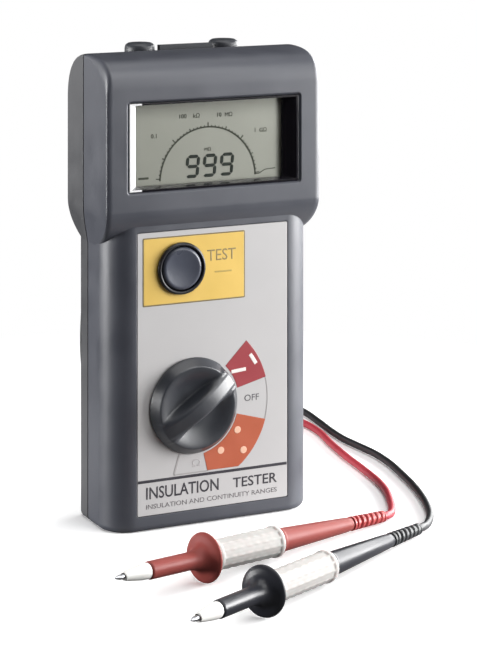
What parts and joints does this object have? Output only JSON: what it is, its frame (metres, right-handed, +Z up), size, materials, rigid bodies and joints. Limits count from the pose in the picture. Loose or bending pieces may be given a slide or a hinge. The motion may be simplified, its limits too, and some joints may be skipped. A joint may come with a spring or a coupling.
{
  "type": "insulation resistance tester",
  "caption": "Handheld insulation resistance tester with a display, range knob, test button and a pair of plug-in test leads with guarded probes.",
  "frame": {"origin": "centre of the instrument's bottom face, where the two halves of the case rest on the table", "axes": "+Z up, display and controls facing -Y, +X to the right of a person facing the display"},
  "size_m": [0.1944, 0.3185, 0.1979],
  "materials": {
    "case": "fine moulded texture",
    "seal": "matt",
    "bezel": "polished",
    "window": "clear",
    "lcd": "satin",
    "white_plastic": "satin",
    "label": "printed film",
    "button": "satin",
    "black_plastic": "satin",
    "steel": "plated",
    "brass": "bright",
    "board": "lacquered",
    "cell": "satin jacket",
    "fuse_glass": "clear",
    "red_plastic": "satin",
    "red_cable_skin": "soft skin",
    "black_cable_skin": "soft skin",
    "collar": "translucent"
  },
  "bodies": {
    "instrument": {"front_cover": "case", "rear_cover": "case", "case_seal": "seal", "lcd_connector": "seal", "display_bezel": "bezel", "display_window": "window", "lcd_panel": "lcd", "lcd_frame": "white_plastic", "front_label": "label", "button_ring": "black_plastic", "test_switch": "black_plastic", "rotary_switch": "black_plastic", "relay": "black_plastic", "buzzer": "black_plastic", "battery_tray": "black_plastic", "terminal_block": "black_plastic", "button_spring": "steel", "fuse_holder": "steel", "battery_contact_upper": "steel", "battery_contact_lower": "steel", "transformer": "steel", "case_screw_lower_left": "steel", "case_screw_lower_right": "steel", "case_screw_upper_left": "steel", "case_screw_upper_right": "steel", "socket_positive": "brass", "socket_negative": "brass", "main_pcb": "board", "cell_lower_left": "cell", "cell_lower_right": "cell", "cell_upper_left": "cell", "cell_upper_right": "cell", "hv_capacitor": "cell", "fuse": "fuse_glass"},
    "range_knob": {"range_knob": "black_plastic", "knob_spindle": "white_plastic", "switch_rotor": "white_plastic"},
    "test_button": {"test_button": "button"},
    "battery_cover": {"battery_cover": "case"},
    "cover_lock": {"cover_lock": "steel"},
    "red_plug": {"red_plug": "black_plastic", "red_plug_pin": "steel", "red_cable": "red_cable_skin"},
    "red_probe": {"red_tip": "steel", "red_tip_sleeve": "white_plastic", "red_nose": "red_plastic", "red_collar": "collar", "red_handle": "red_plastic", "red_strain_relief": "red_plastic"},
    "black_plug": {"black_plug": "black_plastic", "black_plug_pin": "steel", "black_cable": "black_cable_skin"},
    "black_probe": {"black_tip": "steel", "black_tip_sleeve": "white_plastic", "black_nose": "black_plastic", "black_collar": "collar", "black_handle": "black_plastic", "black_strain_relief": "black_plastic"}
  },
  "joints": [
    {"name": "range_knob_turn", "type": "hinge", "parent": "instrument", "child": "range_knob", "pos_m": [-0.0093, -0.02, 0.0498], "axis": [0, 1, 0], "range_deg": [0, 120]},
    {"name": "test_button_press", "type": "slide", "parent": "instrument", "child": "test_button", "axis": [0, 1, 0], "range_m": [0, 0.0015], "deforming": ["button_spring"]},
    {"name": "battery_cover_lift", "type": "slide", "parent": "instrument", "child": "battery_cover", "axis": [0, 1, 0], "range_m": [0, 0.018]},
    {"name": "cover_lock_turn", "type": "hinge", "parent": "battery_cover", "child": "cover_lock", "pos_m": [0, 0.016, 0.1045], "axis": [0, 1, 0], "range_deg": [-90, 0]},
    {"name": "red_plug_pull", "type": "slide", "parent": "instrument", "child": "red_plug", "axis": [0, 0, 1], "range_m": [0, 0.024]},
    {"name": "red_probe_lift", "type": "slide", "parent": "red_plug", "child": "red_probe", "axis": [0, 0, 1], "range_m": [0, 0.05], "deforming": ["red_cable"]},
    {"name": "black_plug_pull", "type": "slide", "parent": "instrument", "child": "black_plug", "axis": [0, 0, 1], "range_m": [0, 0.024]},
    {"name": "black_probe_lift", "type": "slide", "parent": "black_plug", "child": "black_probe", "axis": [0, 0, 1], "range_m": [0, 0.05], "deforming": ["black_cable"]}
  ]
}
